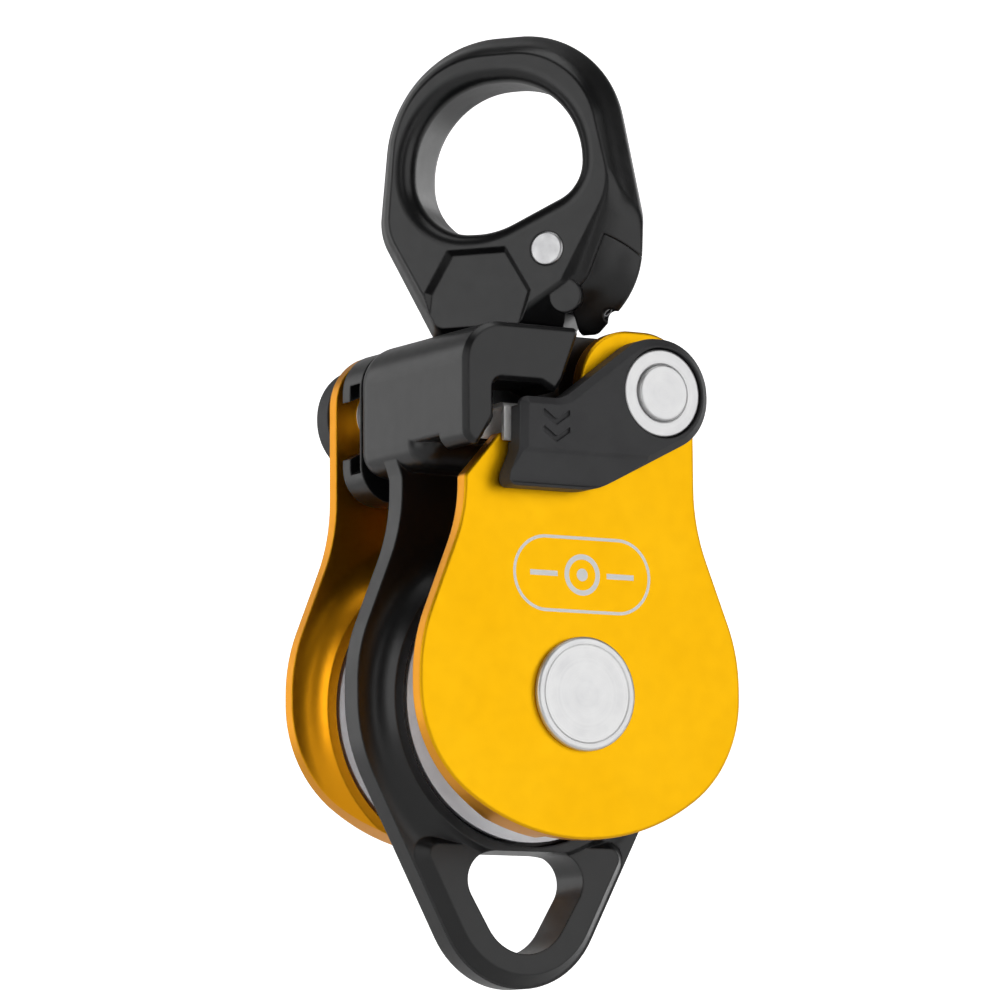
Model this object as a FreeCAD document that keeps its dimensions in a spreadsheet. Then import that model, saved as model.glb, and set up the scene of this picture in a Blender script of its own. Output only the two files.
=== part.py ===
# Swivel double rope pulley: two sheaves side by side on one axle, a centre frame with a lower eye,
# two side plates that swing open, a lever lock on each plate and a gated swivel ring on top.
# Millimetres. Origin: middle of the sheave axle, on the centre frame's mid-plane. +Z up, the axle
# runs along Y and the front plate faces -Y. The rear half is the front half turned half a turn about Z.
import FreeCAD, Part
import math
import os
import re

import Sketcher

V = FreeCAD.Vector
doc = FreeCAD.newDocument("rope_pulley")

# ---------------------------------------------------------------- driving dimensions
SIZES = {
    # layers along the axle, measured out from the mid-plane
    "web_half": 2.4,            # half thickness of the centre frame's web
    "sheave_mid": 12.8,         # middle of each sheave
    "rope_gap": 13.0,           # clear width between the two rope guard rims
    "sheave_width": 17.6,
    "plate_inner": 22.9,        # side plate's inner face
    "plate_outer": 25.8,        # side plate's outer face
    "boss_back": 20.5,          # the latch boss is notched from here ...
    "boss_face": 29.0,          # ... out to its front face
    "lever_back": 26.1,
    "lever_relief": 29.2,       # the lever's top edge is cut back behind this
    "lever_front": 31.2,
    # sheaves, bearings and axle
    "sheave_radius": 26.5,
    "groove_radius": 6.8,
    "groove_centre": 26.0,
    "guard_crest": 29.3,        # crest of the rope guard rim
    "guard_outer": 35.5,        # where the guard rim runs out into the flat
    "guard_wall": 27.4,         # inner wall of the guard rim, round the sheave flange
    "axle_radius": 6.0,
    "axle_head": 10.7,
    "axle_head_proud": 1.5,
    "bearing_radius": 14.0,
    "bearing_width": 8.0,
    "ball_radius": 2.38,
    "ball_pitch": 10.0,
    "ball_count": 9,
    "running_gap": 0.05,
    # lock stud
    "stud_x": 15.1,
    "stud_z": 57.2,
    "stud_neck": 4.6,
    "stud_flange": 7.4,
    "stud_journal": 5.6,
    "stud_head": 5.3,
    "stud_face": 31.5,
    "washer_radius": 8.42,
    "washer_face": 30.7,
    "slot_inner": 12.7,         # the bridge's slot for the stud's flange runs from here ...
    "slot_outer": 16.5,         # ... to here
    "lip_face": 19.3,
    # bridge and swivel
    "bridge_half": 27.2,
    "bridge_top": 68.6,
    "bridge_bottom": 47.6,
    "bridge_foot": 43.0,        # underside of the bridge beside the web
    "spindle_radius": 5.0,
    "thrust_radius": 9.5,       # thrust bearing in the bridge
    "thrust_top": 62.0,
    "swivel_angle": -53.0,      # how far the swivel ring is turned at rest
    "ring_half": 7.6,           # half thickness of the swivel ring
    "ring_bottom": 70.2,
    "cross_pin_x": 10.9,
    "cross_pin_z": 86.3,
    "cross_pin_radius": 3.3,
    "gate_half": 5.9,
    "gate_hinge_x": 14.5,
    "gate_hinge_z": 77.0,
    "gate_hinge_boss": 3.2,
    "gate_arc_x": 15.0,         # centre of the gate's curved top edge
    "gate_arc_z": 73.4,
    "gate_arc_radius": 16.65,
    # lower eye
    "eye_half": 4.8,
    "eye_chamfer": 2.6,
}
sheet = doc.addObject("Spreadsheet::Sheet", "sizes")
for row, (alias, number) in enumerate(SIZES.items(), 1):
    sheet.set(f"A{row}", str(number))
    sheet.setAlias(f"A{row}", alias)
doc.recompute()


def value(expression):
    """A number worked out from the sheet's cells, such as 'sheave_mid - sheave_width / 2'."""
    return float(sheet.evalExpression(str(expression)))


def bind(thing, prop, expression):
    """Binds a property to an expression of the sheet's cells."""
    linked = re.sub(r"\b[a-z]+(?:_[a-z]+)+\b", lambda word: f"sizes.{word.group(0)}", str(expression))
    thing.setExpression(prop, linked)


FRONT = FreeCAD.Placement()
REAR = FreeCAD.Placement(V(0, 0, 0), FreeCAD.Rotation(V(0, 0, 1), 180))
AT_STUD = FreeCAD.Placement(V(value("stud_x"), 0, value("stud_z")), FreeCAD.Rotation())
SWIVEL = FreeCAD.Placement(V(0, 0, 0), FreeCAD.Rotation(V(0, 0, 1), value("swivel_angle")))
SIDES = {"front": FRONT, "rear": REAR}
ABOUT_Y = "XY_Plane"     # a turned profile drawn as (radius, y)
ABOUT_Z = "XZ_Plane"     # a turned profile drawn as (radius, z)
FACING = "XZ_Plane"      # an outline drawn as (x, z) and padded towards -Y


# ---------------------------------------------------------------- outlines
def rounded(corners):
    """Lines and tangent arcs of a closed outline whose corners are (x, z) or (x, z, radius)."""
    points = [V(corner[0], corner[1], 0) for corner in corners]
    radii = [corner[2] if len(corner) > 2 else 0.0 for corner in corners]
    arcs = []
    for i, here in enumerate(points):
        before = (points[i - 1] - here).normalize()
        after = (points[(i + 1) % len(points)] - here).normalize()
        half = before.getAngle(after) / 2
        reach = radii[i] / math.tan(half)
        bisector = (before + after).normalize()
        middle = here + bisector * (radii[i] / math.sin(half) - radii[i])
        arcs.append((here + before * reach, middle, here + after * reach))
    curves = []
    for i, (start, middle, end) in enumerate(arcs):
        last = arcs[i - 1][2]
        if last.distanceToPoint(start) > 1e-4:
            curves.append(Part.LineSegment(last, start))
        if radii[i]:
            curves.append(Part.Arc(start, middle, end))
    return curves


def inset(corners, distance):
    """The corners of the outline that lies a distance inside a clockwise one."""
    count = len(corners)
    moved = []
    for i, corner in enumerate(corners):
        here = V(corner[0], corner[1], 0)
        into = (here - V(corners[i - 1][0], corners[i - 1][1], 0)).normalize()
        out = (V(corners[(i + 1) % count][0], corners[(i + 1) % count][1], 0) - here).normalize()
        right_in = V(into.y, -into.x, 0)
        right_out = V(out.y, -out.x, 0)
        place = here + (right_in + right_out) * (distance / (1 + right_in.dot(right_out)))
        hollow = into.x * out.y - into.y * out.x > 0
        moved.append((place.x, place.y, max(corner[2] + (distance if hollow else -distance), 0.2)))
    return moved


def closed(points):
    """Straight lines through the points, back to the first."""
    return rounded([tuple(point) for point in points])


def mirrored(right_side):
    """A whole outline from its right half, which starts on the centre line and runs upwards."""
    left_side = [(-x, *rest) for x, *rest in reversed(right_side) if x > 0]
    return right_side + left_side


# ---------------------------------------------------------------- features
def new_body(label, placement=FRONT):
    body = doc.addObject("PartDesign::Body", label)
    body.Label = label
    body.Placement = placement
    return body


def sketch_on(body, plane, *outlines, offset="0"):
    """A sketch on one of the body's own origin planes, moved along that plane's normal by offset."""
    sketch = body.newObject("Sketcher::SketchObject", f"{body.Name}_sketch")
    origin_plane = next(f for f in body.Origin.OriginFeatures if f.Role == plane)
    sketch.AttachmentSupport = [(origin_plane, "")]
    sketch.MapMode = "FlatFace"
    bind(sketch, "AttachmentOffset.Base.z", offset)
    for outline in outlines:
        if isinstance(outline, tuple):
            add_circle(sketch, *outline)
        else:
            sketch.addGeometry(outline)
    return sketch


def add_circle(sketch, x, z, radius):
    """A circle whose radius is bound to an expression."""
    index = sketch.addGeometry(Part.Circle(V(value(x), value(z), 0), V(0, 0, 1), value(radius)))
    rule = sketch.addConstraint(Sketcher.Constraint("Radius", index, value(radius)))
    bind(sketch, f"Constraints[{rule}]", radius)


def pad(body, start, length, *outlines, plane=FACING):
    """A pad of outlines from start, over a length, towards -Y on the XZ plane or +Z on the XY plane."""
    feature = body.newObject("PartDesign::Pad", f"{body.Name}_pad")
    feature.Profile = sketch_on(body, plane, *outlines, offset=start)
    bind(feature, "Length", length)
    doc.recompute()
    return feature


def pocket(body, start, length, *outlines, plane=FACING):
    """Cuts outlines away from start, over a length, in the direction that a pad would grow."""
    before = body.Shape.Volume
    feature = body.newObject("PartDesign::Pocket", f"{body.Name}_pocket")
    feature.Profile = sketch_on(body, plane, *outlines, offset=start)
    bind(feature, "Length", length)
    feature.Reversed = True
    doc.recompute()
    if not body.Shape.Volume < before - 1e-3:
        raise RuntimeError(f"{feature.Name} cut nothing")
    return feature


def turn(body, plane, *outlines):
    """A full turn of outlines about the sketch's vertical axis."""
    feature = body.newObject("PartDesign::Revolution", f"{body.Name}_turn")
    sketch = sketch_on(body, plane, *outlines)
    feature.Profile = sketch
    feature.ReferenceAxis = (sketch, ["V_Axis"])
    feature.Angle = 360
    doc.recompute()
    return feature


def groove(body, plane, *outlines):
    """Cuts a full turn of outlines about the sketch's vertical axis."""
    before = body.Shape.Volume
    feature = body.newObject("PartDesign::Groove", f"{body.Name}_groove")
    sketch = sketch_on(body, plane, *outlines)
    feature.Profile = sketch
    feature.ReferenceAxis = (sketch, ["V_Axis"])
    feature.Angle = 360
    doc.recompute()
    if not body.Shape.Volume < before - 1e-3:
        raise RuntimeError(f"{feature.Name} cut nothing")
    return feature


def edges_where(shape, test):
    """Names of the edges whose every sampled point passes a test of (x, y, z)."""
    names = []
    for i, edge in enumerate(shape.Edges, 1):
        if edge.Length > 0.3 and all(test(p.x, p.y, p.z) for p in edge.discretize(5)):
            names.append(f"Edge{i}")
    return names


def soften(body, radius, test, kind="Fillet"):
    """Fillets or chamfers the edges that pass the test, given in the body's own frame."""
    tip = body.Tip
    names = edges_where(tip.Shape, test)
    if not names:
        raise RuntimeError(f"no edge of {body.Label} to soften")
    feature = body.newObject(f"PartDesign::{kind}", f"{body.Name}_{kind}")
    feature.Base = (tip, names)
    setattr(feature, "Radius" if kind == "Fillet" else "Size", radius)
    doc.recompute()
    if "Invalid" in feature.State or feature.Shape.isNull() or not feature.Shape.isValid():
        raise RuntimeError(f"{feature.Name} failed")
    return feature


def bevel(body, corners, start, start_inset, end, end_inset):
    """Builds up between two depths with sides that lean in, each depth's outline drawn in by its inset."""
    feature = body.newObject("PartDesign::AdditiveLoft", f"{body.Name}_bevel")
    feature.Profile = sketch_on(body, FACING, rounded(inset(corners, start_inset)), offset=start)
    feature.Sections = [sketch_on(body, FACING, rounded(inset(corners, end_inset)), offset=end)]
    feature.Ruled = True
    doc.recompute()
    return feature


def turned_body(label, plane, placement, *outlines):
    body = new_body(label, placement)
    turn(body, plane, *outlines)
    return body


def ring_profile(inner, outer, low, high, bevel=0.2):
    """The bevelled rectangle that a washer, race or collar is turned from."""
    inner, outer, low, high = value(inner), value(outer), value(low), value(high)
    return closed([
        (inner, low + bevel), (inner, high - bevel), (inner + bevel, high), (outer - bevel, high),
        (outer, high - bevel), (outer, low + bevel), (outer - bevel, low), (inner + bevel, low),
    ])


# ---------------------------------------------------------------- centre frame and side plates
FLANK_SLOPE = math.tan(math.radians(22.3))      # the plates' flanks lean in by this much per unit height
BELLY = 35.1                                    # half width of the plates at the axle
WAIST = 25.3                                    # half width of the plates under the bridge
FLANK_TOP = 32.9
FLANK_FOOT = 8.8
EYE_LEAN = math.tan(math.radians(27.8))         # the eye's sides close in by this much per unit height
EYE_APEX = -74.6                                # where those sides would meet
EYE_WIDTH = 26.4                                # half width of the thick part of the eye at its top


def side_plate_outline():
    """The side plate as seen from its outside, clockwise from the left flank."""
    return rounded([
        (-BELLY, FLANK_FOOT, 32), (-WAIST, FLANK_TOP, 30), (-WAIST, 39.8, 1.5), (-17.6, 48.4, 1.2),
        (-15.0, 47.4, 1.5), (0.1, 47.4, 4), (0.1, 69.4, 11), (25.2, 69.4, 10.8),
        (WAIST, FLANK_TOP, 37), (BELLY, FLANK_FOOT, 32), (BELLY, -12.0, 24.2), (0, -36.6, 43),
        (-BELLY, -12.0, 24.2),
    ])


def frame_outline():
    """The centre frame's web: the plates' flanks, and straight sides down to the eye."""
    shoulder = EYE_APEX + BELLY / EYE_LEAN
    return rounded(mirrored([
        (0, EYE_APEX, 18), (BELLY, shoulder, 32), (BELLY, FLANK_FOOT, 30), (WAIST, FLANK_TOP, 36),
        (WAIST, 42.0, 4), (value("bridge_half"), 47.5, 4), (value("bridge_half"), 52.0),
    ]))


def blank_profile(flat, crest, back):
    """Half section of a disc blank, from its back face out to its dished face, as (radius, y)."""
    flat, crest, back = value(flat), value(crest), value(back)
    outer, top, wall = value("guard_outer"), value("guard_crest"), value("guard_wall")
    rise = crest - flat
    span = outer - top
    arc_radius = (span ** 2 + rise ** 2) / (2 * abs(rise))
    side = 1 if rise > 0 else -1
    sweep = math.asin(span / arc_radius) / 2
    middle = V(outer - arc_radius * math.sin(sweep), flat + side * arc_radius * (1 - math.cos(sweep)), 0)
    points = [V(0, back, 0), V(90, back, 0), V(90, flat, 0), V(outer, flat, 0), V(top, crest, 0),
              V(wall, crest, 0), V(wall, flat, 0), V(0, flat, 0)]
    curves = [Part.LineSegment(a, b) for a, b in zip(points, points[1:] + points[:1])]
    curves[3] = Part.Arc(points[3], middle, points[4])
    return curves


def trim_to(body, outline):
    """Cuts away everything outside an outline."""
    frame_of_waste = closed([(-120, -120), (-120, 120), (120, 120), (120, -120)])
    pocket(body, "-60", "120", frame_of_waste, outline)


def make_side_plate(side):
    body = new_body(f"{side}_side_plate", SIDES[side])
    crest = "-sheave_mid - rope_gap / 2"
    turn(body, ABOUT_Y, blank_profile("-plate_inner", crest, "-plate_outer"))
    trim_to(body, side_plate_outline())
    pocket(body, "plate_inner - 6", "10", ("0", "0", "axle_radius + 2 + running_gap"))
    pocket(body, "plate_inner - 6", "10", ("stud_x", "stud_z", "stud_journal"))
    outer = value("plate_outer")
    soften(body, 0.35, lambda x, y, z: abs(y + outer) < 0.01, "Chamfer")
    return body


def bridge_profile(left, right, bottom, left_foot, right_foot):
    """A block under the bridge's rounded top, as (x, z)."""
    top = value("bridge_top")
    return rounded([
        (left, bottom, left_foot), (left, top, 8 if left < -20 else 0.5),
        (right, top, 8 if right > 20 else 0.5), (right, bottom, right_foot),
    ])


def latch_boss_corners():
    """Front of the latch boss: a plate with a notch under it, ending in the tooth on the right."""
    half, top = value("bridge_half"), value("bridge_top")
    return [
        (-half, 47.0, 2.5), (-half, top, 8), (-1.6, top, 1.0), (-5.6, 58.4, 2), (-7.3, 56.0, 0.5),
        (-10.4, 57.6, 2), (-20.6, 57.6, 1.6), (-20.6, 50.6, 1.0), (-24.6, 44.4, 1.5),
    ]


def stud_slot(radius):
    """An annular slot about the sheave axle, closed round the stud and open on the stud's side."""
    reach = math.hypot(value("stud_x"), value("stud_z"))
    bearing = math.atan2(value("stud_z"), value("stud_x"))
    low, high = reach - radius, reach + radius
    end_angle = math.radians(35)
    middle_angle = (bearing + end_angle) / 2

    def at(r, angle):
        return V(r * math.cos(angle), r * math.sin(angle), 0)

    centre = at(reach, bearing)
    closed_end = centre + V(-math.sin(bearing), math.cos(bearing), 0) * radius
    return [
        Part.Arc(at(low, end_angle), at(low, middle_angle), at(low, bearing)),
        Part.Arc(at(low, bearing), closed_end, at(high, bearing)),
        Part.Arc(at(high, bearing), at(high, middle_angle), at(high, end_angle)),
        Part.LineSegment(at(high, end_angle), at(low, end_angle)),
    ]


def make_centre_frame():
    """One forging: web with rope guard rims, lower eye, bridge, latch bosses and stud slots.
    The front half is built, then joined to itself turned half a turn about Z."""
    body = new_body("front_half_forging")
    turn(body, ABOUT_Y, blank_profile("-web_half", "rope_gap / 2 - sheave_mid", "0"))
    trim_to(body, frame_outline())
    half, foot, slot_inner = value("bridge_half"), value("bridge_foot"), value("slot_inner")
    pad(body, "0", "slot_inner", bridge_profile(-half, half, foot, 5.0, 5.0))
    soften(body, 5.0, lambda x, y, z: abs(y + slot_inner) < 0.01 and z < foot + 0.2)
    pad(body, "0", "boss_back", bridge_profile(-half, -1.6, value("bridge_bottom"), 1.0, 0.5))
    pad(body, "slot_inner - 0.5", "lip_face - slot_inner + 0.5", bridge_profile(-1.8, 25.8, 39.0, 1.0, 7.0))
    pocket(body, "slot_inner", "slot_outer - slot_inner", stud_slot(value("stud_flange + 0.4")))
    pocket(body, "slot_outer - 0.1", "10", stud_slot(value("stud_neck + 0.4")))
    pad(body, "boss_back - 1", "boss_face - boss_back", rounded(latch_boss_corners()))
    bevel(body, latch_boss_corners(), "boss_face - 1", 0.0, "boss_face", 0.9)
    pocket(body, "slot_outer + 0.6", "20", rounded([
        (-20.6, 40, 0.3), (-20.6, 57.6, 1.6), (-10.4, 57.6, 2), (-7.3, 56.0, 0.5), (-7.3, 40, 0.3),
    ]))
    eye_top = EYE_APEX + EYE_WIDTH / EYE_LEAN
    eye = [(0, EYE_APEX, 18), (-EYE_WIDTH, eye_top, 4.5), (EYE_WIDTH, eye_top, 4.5)]
    bevel(body, eye, "web_half - 0.1", 0.3, "eye_half", value("eye_chamfer"))
    pocket(body, "web_half", "10", ("0", "0", "guard_wall"))
    eye_hole = rounded([(-17.0, -28.2, 5.5), (17.0, -28.2, 5.5), (0, -56.4, 9.5)])
    pocket(body, "-1", "20", eye_hole)
    halves = doc.addObject("Part::MultiFuse", "frame_halves")
    other = doc.addObject("Part::Feature", "rear_half_forging")
    other.Shape = body.Shape.copy()
    other.Placement = REAR
    halves.Shapes = [body, other]
    halves.Refine = True
    holes = doc.addObject("Part::MultiFuse", "frame_holes")
    holes.Shapes = [
        cylinder_y("axle_hole", "axle_radius", "-20", "20"),
        cylinder_z("spindle_hole", "spindle_radius + 0.1", "30", "90"),
        cylinder_z("thrust_hole", "thrust_radius + 0.1", "41", "thrust_top"),
        cylinder_z("seal_hole", "thrust_radius", "bridge_top - 1.6", "90"),
    ]
    frame = doc.addObject("Part::Cut", "centre_frame")
    frame.Base = halves
    frame.Tool = holes
    doc.recompute()
    return frame


# ---------------------------------------------------------------- plain cylinders
def cylinder_y(name, radius, low, high):
    """A cylinder along Y."""
    thing = doc.addObject("Part::Cylinder", name)
    bind(thing, "Radius", radius)
    bind(thing, "Height", f"({high}) - ({low})")
    thing.Placement = FreeCAD.Placement(V(0, value(low), 0), FreeCAD.Rotation(V(1, 0, 0), -90))
    return thing


def cylinder_z(name, radius, low, high):
    """A cylinder along Z."""
    thing = doc.addObject("Part::Cylinder", name)
    bind(thing, "Radius", radius)
    bind(thing, "Height", f"({high}) - ({low})")
    thing.Placement = FreeCAD.Placement(V(0, 0, value(low)), FreeCAD.Rotation())
    return thing


# ---------------------------------------------------------------- axle, sheaves and bearings
def make_axle():
    """The axle with its front head, and the cap that closes its rear end."""
    head, shaft = value("axle_head"), value("axle_radius")
    face, seat = value("plate_outer + axle_head_proud"), value("plate_outer") + 0.15
    rim, dish = head - 1.4, 0.15      # the heads are dished inside a narrow rim
    axle = turned_body("main_axle", ABOUT_Y, FRONT, rounded([
        (0, dish - face), (0, seat + 0.9), (3.5, seat + 0.9), (3.5, seat), (shaft, seat), (shaft, -seat),
        (head, -seat, 0.3), (head, -face, 0.6), (rim, -face), (rim - dish, dish - face),
    ]))
    cap = turned_body("rear_axle_cap", ABOUT_Y, FRONT, rounded([
        (0, seat + 0.9), (0, face - dish), (rim - dish, face - dish), (rim, face), (head, face, 0.6),
        (head, seat, 0.3), (3.5, seat), (3.5, seat + 0.9),
    ]))
    return [axle, cap]


def make_sheave(side):
    """A rope sheave: a round groove between two flanges, bored for its bearing."""
    middle, half = -value("sheave_mid"), value("sheave_width / 2")
    rim, bore, seat = value("sheave_radius"), value("bearing_radius"), value("bearing_width / 2")
    body = turned_body(f"{side}_sheave", ABOUT_Y, SIDES[side], rounded([
        (bore, middle - seat), (bore, middle + seat), (bore + 1.6, middle + seat, 0.5),
        (bore + 3.2, middle + half, 1.0), (rim, middle + half, 0.6), (rim, middle - half, 0.6),
        (bore + 3.2, middle - half, 1.0), (bore + 1.6, middle - seat, 0.5),
    ]))
    groove(body, ABOUT_Y, ("groove_centre", "-sheave_mid", "groove_radius"))
    return body


def make_race(label, side, inner, outer):
    """A bearing race with its ball track."""
    body = turned_body(label, ABOUT_Y, SIDES[side], ring_profile(
        inner, outer, "-sheave_mid - bearing_width / 2", "-sheave_mid + bearing_width / 2"))
    groove(body, ABOUT_Y, ("ball_pitch", "-sheave_mid", "ball_radius + running_gap"))
    return body


def ring_of_balls(label, count, radius, places, placement):
    """Separate balls evenly round a circle; places gives the centre of ball number i."""
    balls = []
    for i in range(count):
        ball = doc.addObject("Part::Sphere", f"{label}_ball")
        bind(ball, "Radius", radius)
        ball.Placement = FreeCAD.Placement(places(2 * math.pi * i / count), FreeCAD.Rotation())
        balls.append(ball)
    group = doc.addObject("Part::Compound", label)
    group.Label = label
    group.Links = balls
    group.Placement = placement
    return group


def make_cage(label, plane, placement, profile, count, radius, places):
    """A ball cage: a ring with a round pocket drilled through it for each ball."""
    ring = turned_body(f"{label}_ring", plane, placement, profile)
    middle = (places(0) + places(math.pi)) / 2
    drills = []
    for i in range(count):
        outward = places(2 * math.pi * i / count) - middle
        drill = doc.addObject("Part::Cylinder", f"{label}_drill")
        bind(drill, "Radius", radius)
        drill.Height = 2 * outward.Length
        drill.Placement = FreeCAD.Placement(middle, FreeCAD.Rotation(V(0, 0, 1), outward))
        drills.append(drill)
    pockets = doc.addObject("Part::Compound", f"{label}_pockets")
    pockets.Links = drills
    pockets.Placement = placement
    cage = doc.addObject("Part::Cut", label)
    cage.Label = label
    cage.Base = ring
    cage.Tool = pockets
    return cage


def make_bearing(side):
    """A sealed ball bearing: two races, balls, cage and a pair of seals."""
    pitch, middle = value("ball_pitch"), -value("sheave_mid")
    count = int(value("ball_count"))

    def ball_at(angle):
        return V(pitch * math.cos(angle), middle, pitch * math.sin(angle))

    seals = new_body(f"{side}_bearing_seals", SIDES[side])
    turn(seals, ABOUT_Y,
         ring_profile("8.8", "11.3", "-sheave_mid - 3.9", "-sheave_mid - 3.2", 0.1),
         ring_profile("8.8", "11.3", "-sheave_mid + 3.2", "-sheave_mid + 3.9", 0.1))
    return [
        make_race(f"{side}_bearing_outer_race", side, "11.4", "bearing_radius"),
        make_race(f"{side}_bearing_inner_race", side, "axle_radius", "8.6"),
        ring_of_balls(f"{side}_bearing_balls", count, "ball_radius", ball_at, SIDES[side]),
        make_cage(f"{side}_bearing_cage", ABOUT_Y, SIDES[side],
                  ring_profile("9.2", "10.8", "-sheave_mid - 3", "-sheave_mid + 3", 0.1),
                  count, "ball_radius + 2 * running_gap", ball_at),
        seals,
    ]


def make_axle_spacers(side):
    """The collar between frame and bearing, and the flanged bush that the side plate swings on."""
    spacer = turned_body(f"{side}_inner_spacer", ABOUT_Y, SIDES[side], ring_profile(
        "axle_radius", "8.2", "-sheave_mid + bearing_width / 2", "-web_half"))
    shaft, sleeve = value("axle_radius"), value("axle_radius + 2")
    race_side, shoulder = value("-sheave_mid - bearing_width / 2"), -value("plate_inner") + 0.15
    bush = turned_body(f"{side}_plate_bush", ABOUT_Y, SIDES[side], rounded([
        (shaft, -value("plate_outer") - 0.15), (shaft, race_side), (8.2, race_side, 0.2),
        (8.2, race_side - 3.0, 1.0), (10.6, shoulder + 1.2, 0.3), (10.6, shoulder, 0.2),
        (sleeve, shoulder), (sleeve, -value("plate_outer") - 0.15),
    ]))
    return [spacer, bush]


# ---------------------------------------------------------------- plate lock
def make_lock_stud(side):
    """The stud that hooks the plate's top into the bridge, and the washer that keeps the lever on it."""
    flange, neck, journal = value("stud_flange"), value("stud_neck"), value("stud_journal")
    head, outer = value("stud_head"), value("washer_radius")
    hook, flange_top = value("-slot_inner - 0.2"), value("0.2 - slot_outer")
    shoulder = -value("plate_inner")
    face, washer_face = -value("stud_face"), -value("washer_face")
    seat = washer_face + 1.4
    placement = SIDES[side].multiply(AT_STUD)
    stud = turned_body(f"{side}_lock_stud", ABOUT_Y, placement, rounded([
        (0, face), (0, hook), (flange, hook, 0.4), (flange, flange_top, 0.4), (neck, flange_top, 0.5),
        (neck, shoulder), (journal, shoulder), (journal, seat), (head, seat), (head, face, 0.4),
    ]))
    washer = turned_body(f"{side}_stud_washer", ABOUT_Y, placement, rounded([
        (head, washer_face + 0.4, 0.2), (head + 0.4, washer_face, 0.2), (outer, washer_face, 0.5),
        (outer, seat, 0.2), (head, seat),
    ]))
    return [stud, washer]


def lever_corners():
    """The lever as seen from the front, clockwise: a round hub on the stud and a thumb pad on the left."""
    x, z, hub = value("stud_x"), value("stud_z"), 10.3
    return [
        (-16.0, 54.7, 1.8), (-6.6, 54.7, 6), (x - 4.5, z + hub, hub), (x + hub, z + hub, hub),
        (x + hub, 50.4, hub), (0.4, 37.8, 14), (-18.4, 37.8, 1.4), (-18.1, 40.4, 2.0), (-16.2, 44.6, 4),
    ]


def chevron(x, z):
    """A shallow arrow head that points down, for the engraved press mark."""
    wide, drop, thick = 2.9, 2.0, 1.1
    return rounded([
        (x - wide, z, 0.2), (x, z - drop, 0.3), (x + wide, z, 0.2), (x + wide, z - thick, 0.2),
        (x, z - drop - thick, 0.3), (x - wide, z - thick, 0.2),
    ])


def make_lever(side):
    """The thumb lever that frees the plate."""
    body = new_body(f"{side}_lock_lever", SIDES[side])
    pad(body, "lever_back", "lever_front - lever_back - 1", rounded(lever_corners()))
    bevel(body, lever_corners(), "lever_front - 1", 0.0, "lever_front", 1.4)
    stud = ("stud_x", "stud_z")
    pocket(body, "20", "20", (*stud, "stud_journal + running_gap"))
    pocket(body, "lever_back - 1", "3.4", (*stud, "stud_journal + 3"))
    pocket(body, "washer_face - 1.5", "5", (*stud, "washer_radius + 0.25"))
    # room behind the top edge for the tooth, and for the catch
    tooth_room = closed([(-30, 53), (-30, 70), (-6, 70), (-6, 53)])
    pocket(body, "lever_back - 1", "lever_relief - lever_back + 1", tooth_room)
    pocket(body, "lever_back - 1", "2", closed([(-30, 46.4), (-30, 70), (-11.8, 70), (-11.8, 46.4)]))
    # the foot of the thumb pad steps back and leans away
    front = value("lever_front")
    slope = body.newObject("PartDesign::Pocket", "lever_slope")
    slope.Profile = sketch_on(body, "YZ_Plane", closed([
        (-front - 1, 45.0), (-front, 45.0), (-front + 0.5, 44.2), (-front + 1.2, 38.6), (-front - 1, 37.0),
    ]), offset="-30")
    slope.Length = 60
    slope.Reversed = True
    doc.recompute()
    for z in (52.6, 49.4):
        pocket(body, "lever_front - 0.5", "3", chevron(-8.6, z))
    return body


def make_catch(side):
    """The sprung steel catch: a strip bent over the plate's edge, hooked behind the boss's tooth."""
    body = new_body(f"{side}_catch", SIDES[side])
    strip = 0.9
    front, rear = -27.0, -21.7
    top, front_foot, rear_foot = 53.8, 46.6, 47.9
    bent = rounded([
        (front, front_foot, 0.4), (front, top, 1.2), (rear, top, 1.2), (rear, rear_foot, 0.3),
        (rear - strip, rear_foot, 0.3), (rear - strip, top - strip, 0.4),
        (front + strip, top - strip, 0.4), (front + strip, front_foot, 0.4),
    ])
    pad(body, "-17.6", "4.2", bent, plane="YZ_Plane")
    pad(body, "21.7", "0.9", rounded([
        (-19.5, 47.4, 0.3), (-19.5, 48.4, 0.3), (-17.4, 51.0, 0.3), (-15.0, 51.0), (-15.0, 48.4),
        (-17.0, 48.4, 0.5), (-18.0, 47.4, 0.3),
    ]))
    pad(body, "26.1", "0.9", closed([(-16, 47.2), (-16, 52.6), (-12.0, 52.6), (-12.0, 47.2)]))
    return body


def make_lever_spring(side):
    """The torsion spring in the lever's hub."""
    coil, wire, pitch, turns = 7.15, 0.38, 0.84, 1.75
    helix = doc.addObject("Part::Helix", f"{side}_spring_line")
    helix.Radius = coil
    helix.Pitch = pitch
    helix.Height = pitch * turns
    helix.SegmentLength = 0.25
    doc.recompute()
    section = doc.addObject("Part::Circle", f"{side}_spring_section")
    section.Radius = wire
    section.Placement = FreeCAD.Placement(V(coil, 0, 0), FreeCAD.Rotation(V(1, 0, 0), 90))
    spring = doc.addObject("Part::Sweep", f"{side}_lever_spring")
    spring.Label = f"{side}_lever_spring"
    spring.Sections = [section]
    spring.Spine = (helix, [f"Edge{i + 1}" for i in range(len(helix.Shape.Edges))])
    spring.Solid = True
    spring.Frenet = True
    along_y = FreeCAD.Placement(V(0, -26.55, 0), FreeCAD.Rotation(V(1, 0, 0), 90))
    spring.Placement = SIDES[side].multiply(AT_STUD).multiply(along_y)
    return spring


# ---------------------------------------------------------------- swivel
def cut_away(label, base, *tools):
    """The base with each tool cut out of it in turn; the last cut carries the label."""
    for tool in tools:
        cut = doc.addObject("Part::Cut", f"{label}_less_{tool.Label}")
        cut.Base = base
        cut.Tool = tool
        doc.recompute()
        base = cut
    base.Label = label
    return base


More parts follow.
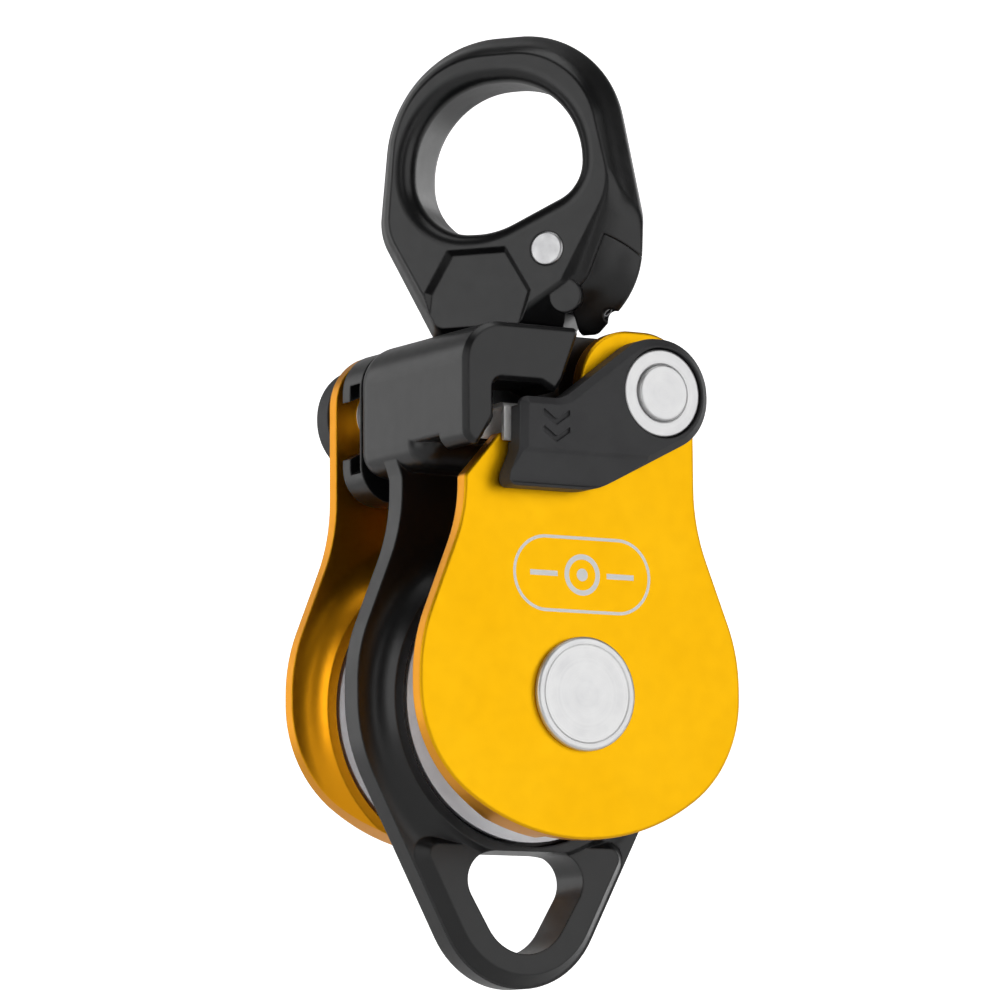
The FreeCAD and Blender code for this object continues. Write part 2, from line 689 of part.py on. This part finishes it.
def ring_section(share):
    """The ring's outline between its widest girth (share 0) and its flat cheeks (share 1)."""
    low, girth_top, cheek_top = value("ring_bottom"), 129.7, 125.4
    girth = [
        (-15.0, low, 4), (-26.9, 92.5, 12), (-23.2, girth_top, 23.5), (20.4, girth_top, 21.5),
        (27.8, 92.0, 10), (27.6, 79.3, 18), (18.7, low, 2),
    ]
    cheek = [
        (-11.8, low + 2.6, 2.5), (-22.6, 92.0, 10), (-19.8, cheek_top, 19.5), (18.0, cheek_top, 18),
        (24.4, 97.0, 11), (16.0, 80.0, 4), (5.0, low + 2.6, 2),
    ]
    return [tuple(a + (b - a) * share for a, b in zip(*pair)) for pair in zip(girth, cheek)]


def ring_opening():
    """The egg-shaped opening, its floor leaning up to the right."""
    return rounded([
        (-17.3, 90.9, 12), (-17.3, 119.8, 16.5), (17.3, 119.8, 16.5), (17.3, 98.2, 7.5),
        (-0.5, 90.4, 18),
    ])


# The ring's rounding: how far out each section lies, as a share of half the ring's thickness,
# and how far its outline has drawn in from the girth to the cheek.
RING_ROUNDING = [(0.0, 0.03), (0.16, 0.13), (0.42, 0.41), (0.82, 0.83), (0.95, 1.04), (1.0, 1.2)]


def make_ring_blank(label):
    """The forged ring before it is cut for the gate: rounded from its girth to its cheeks."""
    body = new_body(label, SWIVEL)
    both_ways = [(-depth, share) for depth, share in reversed(RING_ROUNDING[1:])] + RING_ROUNDING
    sections = [sketch_on(body, FACING, rounded(ring_section(share)), offset=f"ring_half * {depth}")
                for depth, share in both_ways]
    hull = body.newObject("PartDesign::AdditiveLoft", "ring_hull")
    hull.Profile = sections[0]
    hull.Sections = sections[1:]
    doc.recompute()
    pocket(body, "-20", "40", ring_opening())
    half = value("ring_half")
    soften(body, 3.2, lambda x, y, z: abs(abs(y) - half) < 0.01
           and 88 < z < 120.2 and math.hypot(x, z - 103) < 18.8)
    return body


def make_ring_forging():
    """The blank with the bosses over the gate's hinge and the six-sided recess on its front."""
    body = make_ring_blank("ring_forging")
    hinge_boss = ("gate_hinge_x", "gate_hinge_z", "gate_hinge_boss")
    pad(body, "0.3 - ring_half", "2 * (ring_half - 0.3)", hinge_boss)
    recess = [
        (-16.0, 66.0, 1), (-14.4, 79.4, 0.6), (-9.6, 87.4, 0.6), (2.4, 87.4, 0.6), (7.6, 78.6, 0.6),
        (3.5, 66.0, 1),
    ]
    walls = body.newObject("PartDesign::SubtractiveLoft", "ring_recess")
    walls.Profile = sketch_on(body, FACING, rounded(inset(recess, 0)), offset="ring_half")
    walls.Sections = [sketch_on(body, FACING, rounded(inset(recess, 1.1)), offset="ring_half - 1.2")]
    walls.Ruled = True
    doc.recompute()
    return body


def towards(angle):
    """A step of 1 in a direction given in degrees."""
    return V(math.cos(math.radians(angle)), math.sin(math.radians(angle)), 0)


def gate_space(label, gap, top_angle, low_angle):
    """The gate's place in the ring, widened by a gap: right of its hinge and under its curved top edge.
    The top angle is about the centre of that edge, the low angle about the hinge."""
    hinge = V(value("gate_hinge_x"), value("gate_hinge_z"), 0)
    arc_centre = V(value("gate_arc_x"), value("gate_arc_z"), 0)
    radius = value("gate_arc_radius") + gap
    start, middle, end = (arc_centre + towards(angle) * radius for angle in (top_angle, 45, 15))
    foot = hinge + towards(low_angle) * 20
    corner = V(40, foot.y, 0)
    body = new_body(label, SWIVEL)
    back, width = f"-(gate_half + {gap})", f"2 * (gate_half + {gap})"
    pad(body, back, width, [
        Part.LineSegment(hinge, start), Part.Arc(start, middle, end), Part.LineSegment(end, corner),
        Part.LineSegment(corner, foot), Part.LineSegment(foot, hinge),
    ])
    pad(body, back, width, ("gate_hinge_x", "gate_hinge_z", f"{GATE_LOBE} + {gap}"))
    return body


def cross_cylinder(label, x, z, radius, start, length):
    """A cylinder through the ring from front to back."""
    cylinder = doc.addObject("Part::Cylinder", label)
    bind(cylinder, "Radius", radius)
    cylinder.Height = length
    along = FreeCAD.Placement(V(value(x), start, value(z)), FreeCAD.Rotation(V(1, 0, 0), -90))
    cylinder.Placement = SWIVEL.multiply(along)
    return cylinder


GATE_TOP, GATE_LOW, GATE_SWING = 72.0, -84.0, 24.0      # degrees
GATE_LOBE = 2.6                                         # radius of the gate round its hinge


def make_gate_screw():
    """The screw that holds the gate shut, and the space it takes in the gate."""
    inward = V(-1, 0, 1)
    line = SWIVEL.multiply(FreeCAD.Placement(V(20.4, 0, 74.4), FreeCAD.Rotation(V(0, 0, 1), inward)))
    screw = turned_body("gate_screw", ABOUT_Z, line, closed([
        (0, 1.2), (0, 3.6), (1.1, 3.6), (1.5, 3.2), (1.5, 0.3), (1.2, 0), (0.75, 0), (0.75, 1.2),
    ]))
    space = turned_body("gate_screw_space", ABOUT_Z, line, closed([
        (0, -6), (0, 3.6), (1.1, 3.6), (1.5, 3.2), (1.5, -6),
    ]))
    return screw, space


def make_swivel():
    """Ring, gate, the pin that the gate turns on, the screw that shuts it and the pin across the ring."""
    hinge, gap = ("gate_hinge_x", "gate_hinge_z"), 0.15
    hinge_pin, blind_end = "1.2", -6.9
    slot = gate_space("gate_slot", gap, GATE_TOP + 0.6, GATE_LOW - GATE_SWING - 2)
    ring = cut_away(
        "swivel_ring", make_ring_forging(),
        cross_cylinder("cross_pin_hole", "cross_pin_x", "cross_pin_z", "cross_pin_radius", -20, 40),
        cylinder_z("ring_spindle_hole", "spindle_radius", "60", "78"),
        slot,
        cross_cylinder("hinge_pin_hole", *hinge, hinge_pin, blind_end, 20),
    )
    gate_blank = doc.addObject("Part::Common", "gate_blank")
    gate_blank.Base = make_ring_blank("gate_forging")
    gate_blank.Tool = gate_space("gate_place", 0.0, GATE_TOP, GATE_LOW)
    doc.recompute()
    screw, screw_space = make_gate_screw()
    running_hole = cross_cylinder("hinge_pin_running_hole", *hinge, f"{hinge_pin} + running_gap", -20, 40)
    gate = cut_away("swivel_gate", gate_blank, screw_space, running_hole)
    pin_length = value("ring_half") - 0.4 - blind_end
    pin = cross_cylinder("gate_hinge_pin", *hinge, hinge_pin, blind_end, pin_length)
    proud, radius = value("ring_half") + 0.25, value("cross_pin_radius")
    centre = FreeCAD.Placement(V(value("cross_pin_x"), 0, value("cross_pin_z")), FreeCAD.Rotation())
    cross_pin = turned_body("cross_pin", ABOUT_Y, SWIVEL.multiply(centre), rounded([
        (0, -proud), (0, proud), (radius, proud, 0.5), (radius, -proud, 0.5),
    ]))
    return [ring, gate, pin, cross_pin, screw]


def make_spindle():
    """The spindle that the ring turns on, its nut and washer, and the thrust bearing that carries it."""
    radius, outer = value("spindle_radius"), value("thrust_radius")
    pitch, ball, height, count = 7.3, 1.5, 58.1, 12

    def ball_at(angle):
        return V(pitch * math.cos(angle), pitch * math.sin(angle), height)

    spindle = turned_body("swivel_spindle", ABOUT_Z, SWIVEL, rounded([
        (0, 48.0), (0, 78.0), (radius - 0.8, 78.0), (radius, 77.2), (radius, 48.8), (radius - 0.8, 48.0),
    ]))
    nut = new_body("spindle_nut", SWIVEL)
    across_corners = 13.0 / math.cos(math.radians(30))
    hexagon = closed([towards(60 * i) * (across_corners / 2) for i in range(6)])
    pad(nut, "48.6", "4", hexagon, ("0", "0", "spindle_radius"), plane="XY_Plane")
    washer = turned_body("spindle_washer", ABOUT_Z, SWIVEL, ring_profile(
        "spindle_radius", "7.8", "52.6", "54.2"))
    lower = turned_body("thrust_lower_race", ABOUT_Z, SWIVEL, ring_profile(
        "spindle_radius", "thrust_radius - 0.2", "54.2", "57.0"))
    upper = turned_body("thrust_upper_race", ABOUT_Z, FRONT, ring_profile(
        "spindle_radius + 0.3", "thrust_radius", "59.2", "thrust_top"))
    for race in (lower, upper):
        groove(race, ABOUT_Z, (str(pitch), str(height), str(ball + 0.05)))
    balls = ring_of_balls("thrust_balls", count, str(ball), ball_at, FRONT)
    cage = make_cage("thrust_cage", ABOUT_Z, FRONT, ring_profile("5.4", "9.25", "57.5", "58.7", 0.1),
                     count, str(ball + 0.1), ball_at)
    lip, seat, top = radius + 0.15, value("bridge_top - 1.6"), value("bridge_top + 1")
    seal = turned_body("spindle_seal", ABOUT_Z, FRONT, rounded([
        (lip, seat), (lip, top, 0.3), (outer - 1.6, top, 0.4), (outer - 0.1, top - 1.2, 0.3),
        (outer - 0.1, seat),
    ]))
    return [spindle, nut, washer, lower, upper, balls, cage, seal]


NODES = [make_centre_frame(), *make_axle(), *make_swivel(), *make_spindle()]
for side in SIDES:
    NODES += [make_side_plate(side), make_sheave(side), *make_bearing(side), *make_axle_spacers(side)]
    NODES += [*make_lock_stud(side), make_lever(side), make_catch(side), make_lever_spring(side)]


# ---------------------------------------------------------------- check and write
def check_document():
    for thing in doc.Objects:
        if "Invalid" in thing.State or "Error" in thing.State:
            raise RuntimeError(f"{thing.Name} failed: {thing.State}")
    for node in NODES:
        if node.Shape.isNull() or not node.Shape.isValid():
            raise RuntimeError(f"{node.Label} has a bad shape")


doc.recompute()
check_document()
os.makedirs("parts", exist_ok=True)
for node in NODES:
    node.Shape.exportStep(f"parts/{node.Label}.step")
    print(node.Label, len(node.Shape.Solids), round(node.Shape.Volume / 1000, 2), "cm3")
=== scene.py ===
"""Looks of the rope pulley: node materials for every part, a white studio and the camera."""
import math

import bpy
from mathutils import Matrix, Vector

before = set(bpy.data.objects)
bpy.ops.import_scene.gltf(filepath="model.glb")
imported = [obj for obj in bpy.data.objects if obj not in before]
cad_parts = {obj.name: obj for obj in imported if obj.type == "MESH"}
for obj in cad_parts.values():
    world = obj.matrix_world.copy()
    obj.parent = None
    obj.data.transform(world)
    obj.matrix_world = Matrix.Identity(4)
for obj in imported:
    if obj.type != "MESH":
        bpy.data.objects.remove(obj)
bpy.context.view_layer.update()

MM = 0.001
MARK_HEIGHT = 22.4 * MM             # middle of the sign printed on each side plate
MARK_HALF_LENGTH = 14.8 * MM
MARK_HALF_HEIGHT = 6.9 * MM
MARK_COLOUR = (0.95, 0.95, 0.93)


# ---------------------------------------------------------------- material helpers
class Material:
    """A node material built up in steps: colour, roughness and surface normal."""

    def __init__(self, name, metallic=0.0, specular=0.5):
        self.data = bpy.data.materials.new(name)
        self.data.use_nodes = True
        self.tree = self.data.node_tree
        self.surface = self.tree.nodes["Principled BSDF"]
        self.surface.inputs["Metallic"].default_value = metallic
        self.surface.inputs["Specular IOR Level"].default_value = specular
        self.place = self.node("ShaderNodeTexCoord").outputs["Object"]
        self.normal = None

    def node(self, kind, **values):
        """A new node; a keyword with an input's name sets or links it, any other sets a property."""
        made = self.tree.nodes.new(kind)
        for key, wanted in values.items():
            socket = made.inputs.get(key.replace("_", " "))
            if socket is None:
                setattr(made, key, wanted)
            elif isinstance(wanted, bpy.types.NodeSocket):
                self.tree.links.new(wanted, socket)
            else:
                socket.default_value = wanted
        return made

    def worked_out(self, operation, *numbers):
        """A number worked out from numbers or sockets."""
        made = self.node("ShaderNodeMath", operation=operation)
        for socket, number in zip(made.inputs, numbers):
            if isinstance(number, bpy.types.NodeSocket):
                self.tree.links.new(number, socket)
            else:
                socket.default_value = number
        return made.outputs["Value"]

    def link(self, output, socket_name):
        self.tree.links.new(output, self.surface.inputs[socket_name])

    def noise(self, scale, detail=3.0, roughness=0.5):
        """Noise from 0 to 1 with so many waves per metre."""
        found = self.node("ShaderNodeTexNoise", Vector=self.place, Scale=scale, Detail=detail,
                          Roughness=roughness)
        return found.outputs["Fac"]

    def between(self, factor, low, high, start=0.0, end=1.0):
        """A number that goes from low to high as the factor goes from start to end."""
        ramp = self.node("ShaderNodeMapRange", Value=factor)
        for name, number in (("From Min", start), ("From Max", end), ("To Min", low), ("To Max", high)):
            ramp.inputs[name].default_value = number
        return ramp.outputs["Result"]

    def mixed(self, factor, first, second):
        """A colour between two colours or colour sockets."""
        mix = self.node("ShaderNodeMix", data_type="RGBA")
        for socket, wanted in ((mix.inputs[0], factor), (mix.inputs[6], first), (mix.inputs[7], second)):
            if isinstance(wanted, bpy.types.NodeSocket):
                self.tree.links.new(wanted, socket)
            elif isinstance(wanted, tuple):
                socket.default_value = (*wanted, 1.0)
            else:
                socket.default_value = wanted
        return mix.outputs[2]

    def edge(self, radius):
        """1 on edges within the radius, 0 on flats: how far the rounded normal leans from the true one."""
        rounded = self.node("ShaderNodeBevel", samples=6)
        rounded.inputs["Radius"].default_value = radius
        true = self.node("ShaderNodeNewGeometry").outputs["Normal"]
        lean = self.node("ShaderNodeVectorMath", operation="DOT_PRODUCT")
        self.tree.links.new(rounded.outputs["Normal"], lean.inputs[0])
        self.tree.links.new(true, lean.inputs[1])
        return self.between(lean.outputs["Value"], 1.0, 0.0, 0.72, 0.97)

    def facing_out(self):
        """1 where the surface looks away from the mid-plane along the axle, 0 elsewhere."""
        place = self.node("ShaderNodeSeparateXYZ", Vector=self.place).outputs["Y"]
        normal = self.node("ShaderNodeNewGeometry").outputs["Normal"]
        lean = self.node("ShaderNodeSeparateXYZ", Vector=normal).outputs["Y"]
        outward = self.worked_out("MULTIPLY", self.worked_out("SIGN", place), lean)
        return self.between(outward, 0.0, 1.0, 0.2, 0.8)

    def plate_mark(self):
        """1 on the printed sign of a wheel between two bars in a long rounded frame, 0 elsewhere."""
        across, _, height = self.node("ShaderNodeSeparateXYZ", Vector=self.place).outputs
        across = self.worked_out("ABSOLUTE", across)
        height = self.worked_out("ABSOLUTE", self.worked_out("SUBTRACT", height, MARK_HEIGHT))

        def distance(x, z):
            x_squared = self.worked_out("MULTIPLY", x, x)
            z_squared = self.worked_out("MULTIPLY", z, z)
            return self.worked_out("SQRT", self.worked_out("ADD", x_squared, z_squared))

        def line(where, middle, half_width):
            """1 where a number is within a half width of a middle."""
            return self.worked_out("COMPARE", where, middle, half_width)

        straight = MARK_HALF_LENGTH - MARK_HALF_HEIGHT
        beyond = self.worked_out("MAXIMUM", self.worked_out("SUBTRACT", across, straight), 0.0)
        border = line(distance(beyond, height), MARK_HALF_HEIGHT, 0.3 * MM)
        from_middle = distance(across, height)
        rim = line(from_middle, 3.4 * MM, 0.5 * MM)
        hub = line(from_middle, 0.0, 1.2 * MM)
        wheel = self.worked_out("MAXIMUM", rim, hub)
        bars = self.worked_out("MULTIPLY", line(across, 8.4 * MM, 3.0 * MM), line(height, 0.0, 0.5 * MM))
        return self.worked_out("MAXIMUM", border, self.worked_out("MAXIMUM", wheel, bars))

    def soft_edges(self, radius):
        """Rounds every sharp edge in the shading."""
        self.normal = self.node("ShaderNodeBevel", samples=6, Radius=radius).outputs["Normal"]

    def bump(self, height, depth):
        """Adds relief of the given depth, in metres."""
        relief = self.node("ShaderNodeBump", Height=height, Distance=depth, Strength=1.0)
        if self.normal is not None:
            self.tree.links.new(self.normal, relief.inputs["Normal"])
        self.normal = relief.outputs["Normal"]

    def from_axis(self, origin):
        """Distance from the axis through the origin along Y."""
        shifted = self.node("ShaderNodeVectorMath", operation="SUBTRACT")
        self.tree.links.new(self.place, shifted.inputs[0])
        shifted.inputs[1].default_value = origin
        flat = self.node("ShaderNodeVectorMath", operation="MULTIPLY")
        self.tree.links.new(shifted.outputs["Vector"], flat.inputs[0])
        flat.inputs[1].default_value = (1.0, 0.0, 1.0)
        distance = self.node("ShaderNodeVectorMath", operation="LENGTH")
        self.tree.links.new(flat.outputs["Vector"], distance.inputs[0])
        return distance.outputs["Value"]

    def rings(self, distance, spacing):
        """Fine circles a spacing apart, as left by a lathe: 0 to 1."""
        turns = self.worked_out("MULTIPLY", distance, 1.0 / spacing)
        marks = self.node("ShaderNodeTexNoise", noise_dimensions="1D", W=turns, Scale=1.0, Detail=2.0)
        return marks.outputs["Fac"]

    def finish(self):
        if self.normal is not None:
            self.link(self.normal, "Normal")
        return self.data


def anodised(name, flat, deep, edge, roughness, metallic, painted_inward_shade=None):
    """Anodised aluminium: even colour, faint clouding, fine satin grain and rubbed edges.
    The deeper orange for the cut edges and for faces that look towards the middle of the pulley is painted
    shade."""
    edge_radius = 0.5 * MM
    made = Material(name, metallic=metallic)
    cloud = made.noise(60.0, detail=4.0)
    grain = made.noise(9000.0, detail=2.0)
    colour = made.mixed(made.between(cloud, 0.0, 1.0, 0.3, 0.75), flat, deep)
    # painted shade: the cut edges and the faces towards the middle of the pulley get the deeper orange
    if painted_inward_shade:
        outward = made.facing_out()
        colour = made.mixed(outward, painted_inward_shade, colour)
        printed = made.worked_out("MULTIPLY", outward, made.plate_mark())
        colour = made.mixed(printed, colour, MARK_COLOUR)
        made.link(made.between(printed, metallic, 0.0), "Metallic")
    patchy = made.between(made.noise(900.0, detail=5.0), 0.15, 0.9, 0.42, 0.62)
    rubbed = made.worked_out("MULTIPLY", made.edge(edge_radius), patchy)
    made.link(made.mixed(rubbed, colour, edge), "Base Color")
    made.link(made.between(made.noise(400.0, detail=3.0), roughness - 0.05, roughness + 0.07), "Roughness")
    made.soft_edges(edge_radius)
    made.bump(grain, 0.004 * MM)
    return made.finish()


def turned_metal(name, colour, dark, roughness, origin=(0, 0, 0), metallic=1.0):
    """Metal turned about an axis through the origin: fine circles, and duller bands where it is stained."""
    made = Material(name, metallic=metallic)
    distance = made.from_axis(origin)
    marks = made.rings(distance, 0.25 * MM)
    bands = made.between(made.rings(distance, 1.6 * MM), 0.3, 1.0, 0.3, 0.7)
    stain = made.between(made.noise(300.0, detail=4.0), 0.0, 1.0, 0.3, 0.8)
    dull = made.worked_out("MULTIPLY", stain, bands)
    made.link(made.mixed(dull, colour, dark), "Base Color")
    made.link(made.between(marks, roughness - 0.08, roughness + 0.12), "Roughness")
    made.soft_edges(0.4 * MM)
    made.bump(marks, 0.008 * MM)
    return made.finish()


def moulded(name, flat, deep, edge, roughness):
    """Moulded plastic with a fine spark-eroded texture."""
    made = Material(name, specular=0.45)
    speckle = made.noise(4200.0, detail=3.0, roughness=0.6)
    patches = made.noise(140.0, detail=3.0)
    colour = made.mixed(made.between(patches, 0.0, 1.0, 0.35, 0.7), flat, deep)
    made.link(made.mixed(made.edge(0.4 * MM), colour, edge), "Base Color")
    made.link(made.between(speckle, roughness - 0.06, roughness + 0.08), "Roughness")
    made.soft_edges(0.4 * MM)
    made.bump(speckle, 0.012 * MM)
    return made.finish()


def plain_part(name, colour, dark, roughness, metallic, specular=0.5):
    """Small parts: slight stains, slight grain, soft edges."""
    made = Material(name, metallic=metallic, specular=specular)
    stain = made.noise(500.0, detail=4.0)
    made.link(made.mixed(made.between(stain, 0.0, 1.0, 0.3, 0.75), colour, dark), "Base Color")
    made.link(made.between(stain, roughness - 0.05, roughness + 0.1), "Roughness")
    made.soft_edges(0.2 * MM)
    made.bump(made.noise(6000.0), 0.003 * MM)
    return made.finish()


# ---------------------------------------------------------------- the materials
FRONT_STUD = (15.1 * MM, 0.0, 57.2 * MM)
REAR_STUD = (-15.1 * MM, 0.0, 57.2 * MM)

black = anodised("black_anodised", (0.005, 0.005, 0.0055), (0.003, 0.003, 0.0035), (0.03, 0.03, 0.032),
                 roughness=0.30, metallic=0.0)
# the yellow's last colour is painted shade for the cut edges and the faces towards the middle of the pulley
yellow = anodised("yellow_anodised", (0.93, 0.50, 0.006), (0.90, 0.47, 0.004), (0.93, 0.50, 0.03),
                  roughness=0.36, metallic=1.0, painted_inward_shade=(0.90, 0.37, 0.010))
lever_plastic = moulded("lever_plastic", (0.034, 0.034, 0.036), (0.026, 0.026, 0.028), (0.06, 0.06, 0.062),
                        roughness=0.52)
sheave_alloy = turned_metal("sheave_alloy", (0.88, 0.88, 0.90), (0.80, 0.80, 0.82), 0.42, metallic=0.7)
axle_steel = turned_metal("axle_steel", (0.80, 0.80, 0.80), (0.68, 0.68, 0.69), 0.40)
stud_colours = (0.76, 0.76, 0.76), (0.67, 0.67, 0.68)
front_stud_steel = turned_metal("front_stud_steel", *stud_colours, 0.38, FRONT_STUD)
rear_stud_steel = turned_metal("rear_stud_steel", *stud_colours, 0.38, REAR_STUD)
swivel_steel = plain_part("swivel_steel", (0.58, 0.58, 0.585), (0.47, 0.47, 0.48), 0.34, 1.0)
catch_steel = plain_part("catch_steel", (0.86, 0.85, 0.84), (0.74, 0.73, 0.71), 0.38, 0.6)
bearing_steel = plain_part("bearing_steel", (0.75, 0.75, 0.76), (0.62, 0.62, 0.64), 0.15, 1.0)
screw_steel = plain_part("screw_steel", (0.30, 0.30, 0.31), (0.20, 0.20, 0.21), 0.4, 1.0)
rubber = plain_part("seal_rubber", (0.022, 0.022, 0.024), (0.014, 0.014, 0.015), 0.6, 0.0, specular=0.35)
cage_plastic = plain_part("cage_plastic", (0.62, 0.58, 0.48), (0.50, 0.47, 0.39), 0.5, 0.0)

LOOKS = [
    ("centre_frame", black), ("swivel_ring", black), ("swivel_gate", black),
    ("side_plate", yellow), ("lever_spring", catch_steel), ("lock_lever", lever_plastic),
    ("seal", rubber), ("cage", cage_plastic), ("bearing", bearing_steel), ("thrust", bearing_steel),
    ("spacer", sheave_alloy), ("_sheave", sheave_alloy), ("gate_screw", screw_steel),
    ("catch", catch_steel),
    ("front_lock_stud", front_stud_steel), ("front_stud_washer", front_stud_steel),
    ("rear_lock_stud", rear_stud_steel), ("rear_stud_washer", rear_stud_steel),
    ("axle", axle_steel), ("bush", axle_steel), ("_pin", swivel_steel), ("spindle", swivel_steel),
]


def look_for(node):
    for words, material in LOOKS:
        if words in node:
            return material
    raise KeyError(f"no look for {node}")


for name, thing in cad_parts.items():
    thing.data.materials.clear()
    thing.data.materials.append(look_for(name))


# ---------------------------------------------------------------- floor, light and camera
FLOOR_GLOW = 0.12          # how bright the floor is to everything but the camera


def make_floor():
    """A pale sheet that curves up into a back wall."""
    half_width, front, back = 3.0, -2.2, 1.6
    low, rise, bend, steps = -0.25, 2.6, 0.8, 16
    profile = [(front, low)]
    for i in range(steps + 1):
        angle = math.radians(90 * i / steps)
        profile.append((back - bend + bend * math.sin(angle), low + bend - bend * math.cos(angle)))
    profile.append((back, low + rise))
    turn = Matrix.Rotation(CAMERA_TURN, 3, "Z")
    corners = [turn @ Vector((x, y, z)) for y, z in profile for x in (-half_width, half_width)]
    faces = [(2 * i, 2 * i + 1, 2 * i + 3, 2 * i + 2) for i in range(len(profile) - 1)]
    mesh = bpy.data.meshes.new("floor")
    mesh.from_pydata([tuple(c) for c in corners], [], faces)
    for face in mesh.polygons:
        face.use_smooth = True
    floor = bpy.data.objects.new("floor", mesh)
    bpy.context.scene.collection.objects.link(floor)
    made = Material("pale_paper")
    cloud = made.noise(3.0)
    made.link(made.mixed(cloud, (0.93, 0.93, 0.93), (0.90, 0.90, 0.90)), "Base Color")
    made.surface.inputs["Roughness"].default_value = 0.9
    made.surface.inputs["Emission Color"].default_value = (1.0, 1.0, 1.0, 1.0)
    seen = made.node("ShaderNodeLightPath").outputs["Is Camera Ray"]
    made.link(made.between(seen, FLOOR_GLOW, 1.0), "Emission Strength")
    floor.data.materials.append(made.finish())


MIDDLE = Vector((0.0, 0.0, 0.04))
LIGHT_DISTANCE = 1.2


def add_light(name, direction, size, glow):
    """A soft box of a width and height, seen from the pulley in a direction, as bright as its glow."""
    data = bpy.data.lights.new(name, "AREA")
    data.shape = "RECTANGLE"
    data.size, data.size_y = size
    data.energy = glow * math.pi * size[0] * size[1]
    lamp = bpy.data.objects.new(name, data)
    bpy.context.scene.collection.objects.link(lamp)
    away = Vector(direction).normalized()
    lamp.location = MIDDLE + away * LIGHT_DISTANCE
    lamp.rotation_euler = away.to_track_quat("Z", "Y").to_euler()


CAMERA_TURN = math.radians(-31.153)
CAMERA_TILT = math.radians(-7.282)
CAMERA_ROLL = math.radians(0.378)
CAMERA_PLACE = (-541.81 * MM, -892.55 * MM, -93.97 * MM)
CAMERA_LENS = 198.0          # on a sensor 36 wide


def make_camera():
    """Seen from the front left and a little below, as a hanging pulley is."""
    right = Vector((math.cos(CAMERA_TURN), math.sin(CAMERA_TURN), 0))
    back = Vector((math.sin(CAMERA_TURN) * math.cos(CAMERA_TILT),
                   -math.cos(CAMERA_TURN) * math.cos(CAMERA_TILT), math.sin(CAMERA_TILT)))
    up = back.cross(right)
    across = math.cos(CAMERA_ROLL) * right - math.sin(CAMERA_ROLL) * up
    upward = math.sin(CAMERA_ROLL) * right + math.cos(CAMERA_ROLL) * up
    data = bpy.data.cameras.new("camera")
    data.lens = CAMERA_LENS
    data.sensor_width = 36.0
    data.clip_start = 0.05
    camera = bpy.data.objects.new("camera", data)
    bpy.context.scene.collection.objects.link(camera)
    axes = Matrix((across, upward, back)).transposed()
    camera.matrix_world = Matrix.Translation(CAMERA_PLACE) @ axes.to_4x4()
    bpy.context.scene.camera = camera


BRIGHT_SIDE = Vector((0.12, -0.96, 0.25)).normalized()
DARK_GLOW, BRIGHT_GLOW = 0.03, 0.05


def make_world():
    """A white room to the camera; as light it is dim, and a little brighter in front."""
    world = bpy.data.worlds.new("studio")
    world.use_nodes = True
    tree = world.node_tree
    lean = tree.nodes.new("ShaderNodeVectorMath")
    lean.operation = "DOT_PRODUCT"
    lean.inputs[1].default_value = BRIGHT_SIDE
    tree.links.new(tree.nodes.new("ShaderNodeTexCoord").outputs["Generated"], lean.inputs[0])
    glow = tree.nodes.new("ShaderNodeMapRange")
    tree.links.new(lean.outputs["Value"], glow.inputs["Value"])
    ramp = {"From Min": -0.9, "From Max": 0.15, "To Min": DARK_GLOW, "To Max": BRIGHT_GLOW}
    for name, number in ramp.items():
        glow.inputs[name].default_value = number
    seen = tree.nodes.new("ShaderNodeMath")
    seen.operation = "MAXIMUM"
    tree.links.new(glow.outputs["Result"], seen.inputs[0])
    tree.links.new(tree.nodes.new("ShaderNodeLightPath").outputs["Is Camera Ray"], seen.inputs[1])
    background = tree.nodes["Background"]
    background.inputs["Color"].default_value = (1.0, 1.0, 1.0, 1.0)
    tree.links.new(seen.outputs["Value"], background.inputs["Strength"])
    bpy.context.scene.world = world


make_floor()
make_camera()
make_world()
add_light("front_right", (0.40, -0.91, 0.10), (1.25, 1.2), 1.2)
add_light("beside_camera", (-0.52, -0.85, 0.05), (0.16, 0.9), 1.6)
add_light("left", (-0.97, -0.10, 0.12), (0.8, 1.3), 1.7)
add_light("back_left", (-0.55, 0.83, 0.10), (0.7, 1.2), 1.1)
add_light("right", (0.95, 0.26, 0.0), (0.8, 1.4), 1.4)
add_light("top", (0.0, -0.1, 1.0), (0.9, 0.9), 1.3)
add_light("low", (0.2, -0.5, -0.6), (0.5, 0.3), 1.5)
bpy.context.scene.view_settings.view_transform = "Standard"
